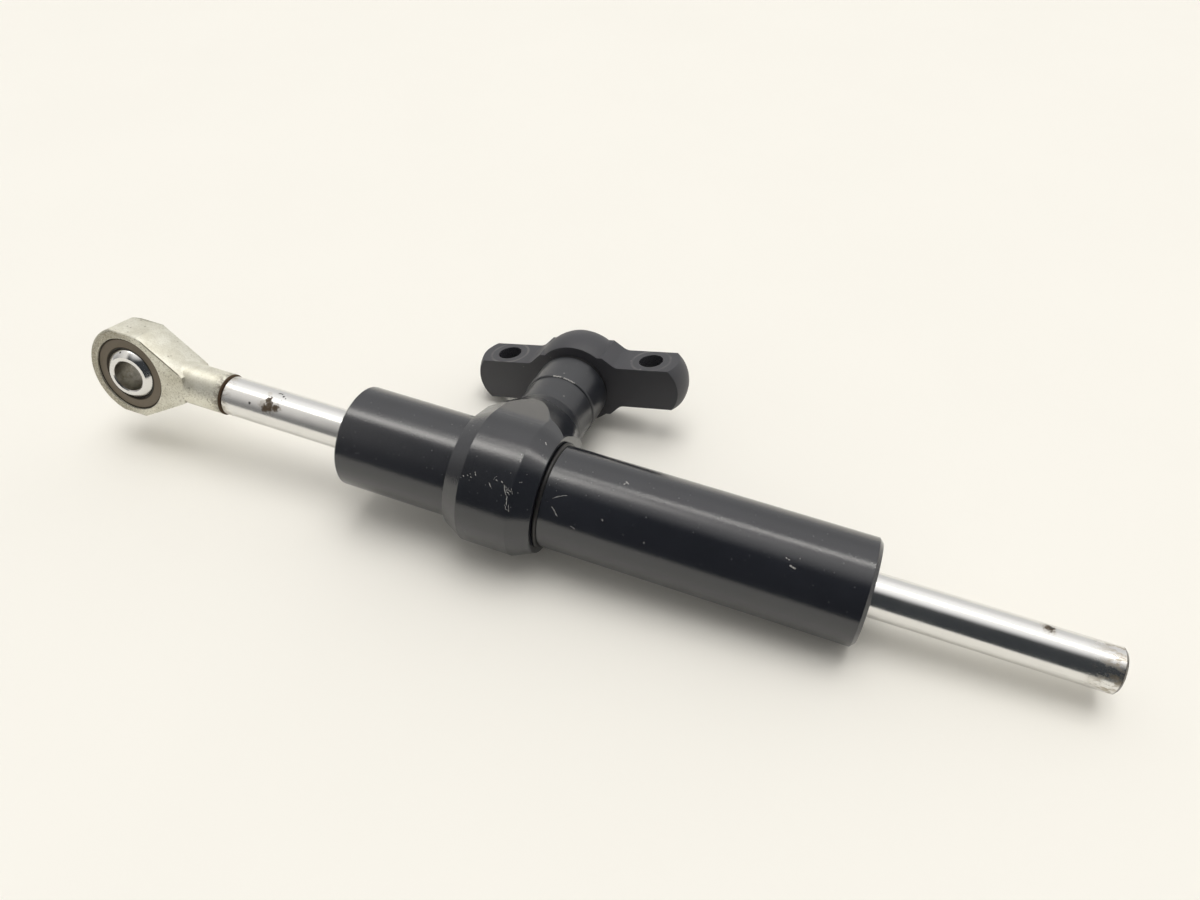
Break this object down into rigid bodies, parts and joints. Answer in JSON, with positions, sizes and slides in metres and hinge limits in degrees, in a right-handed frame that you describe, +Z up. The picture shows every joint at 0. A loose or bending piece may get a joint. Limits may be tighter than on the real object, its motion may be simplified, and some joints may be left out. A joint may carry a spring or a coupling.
{
  "type": "steering damper",
  "caption": "Motorcycle steering damper: a chromed rod through a black tube, a ball-jointed rod end, and a collar whose stalk carries a swivelling bolt-on bracket.",
  "frame": {"origin": "centre of the bracket's bolt pattern, on the axis of the stalk", "axes": "+X along the damper's axis towards the rod's free tip, +Y along the stalk away from the damper, +Z up"},
  "size_m": [0.253, 0.0702, 0.0328],
  "materials": {
    "black_anodised_tube": "satin black anodised",
    "black_anodised_collar": "satin black anodised",
    "black_coated_bracket": "matte black",
    "rod_chrome": "hard chrome",
    "ball_chrome": "polished",
    "plated_steel": "zinc plated",
    "race_steel": "dull",
    "plain_steel": "plain",
    "spring_steel": "phosphated",
    "plain_aluminium": "turned",
    "bronze": "plain",
    "seal_rubber": "matte",
    "ring_plastic": "filled plastic",
    "bush_plastic": "black filled plastic"
  },
  "bodies": {
    "bracket": {"mounting_bracket": "black_coated_bracket", "pivot_bush": "bush_plastic"},
    "barrel": {"damper_tube": "black_anodised_tube", "pivot_collar": "black_anodised_collar", "collar_snap_ring": "spring_steel", "pivot_washer": "plain_steel", "pivot_circlip": "spring_steel", "left_rod_guide": "plain_aluminium", "right_rod_guide": "plain_aluminium", "left_guide_bush": "bronze", "right_guide_bush": "bronze", "left_oil_seal": "seal_rubber", "right_oil_seal": "seal_rubber", "left_wiper": "seal_rubber", "right_wiper": "seal_rubber", "left_guide_o_ring": "seal_rubber", "right_guide_o_ring": "seal_rubber", "left_guide_circlip": "spring_steel", "right_guide_circlip": "spring_steel"},
    "piston": {"piston": "plain_aluminium", "piston_ring": "ring_plastic", "left_valve_shim": "plain_steel", "right_valve_shim": "plain_steel"},
    "rod": {"damper_rod": "rod_chrome", "left_piston_circlip": "spring_steel", "right_piston_circlip": "spring_steel", "rod_end_housing": "plated_steel", "rod_end_race": "race_steel"},
    "ball": {"rod_end_ball": "ball_chrome"}
  },
  "joints": [
    {"name": "bracket_swivel", "type": "hinge", "parent": "bracket", "child": "barrel", "pos_m": [0, 0, 0], "axis": [0, 1, 0], "continuous": true},
    {"name": "rod_stroke", "type": "slide", "parent": "barrel", "child": "piston", "axis": [1, 0, 0], "range_m": [-0.0408, 0.027]},
    {"name": "rod_spin", "type": "hinge", "parent": "piston", "child": "rod", "pos_m": [0, -0.0488, 0], "axis": [1, 0, 0], "continuous": true},
    {"name": "ball_tilt", "type": "hinge", "parent": "rod", "child": "ball", "pos_m": [-0.1041, -0.0488, 0], "axis": [0, 0.1305, 0.9914], "range_deg": [-18, 8]}
  ]
}
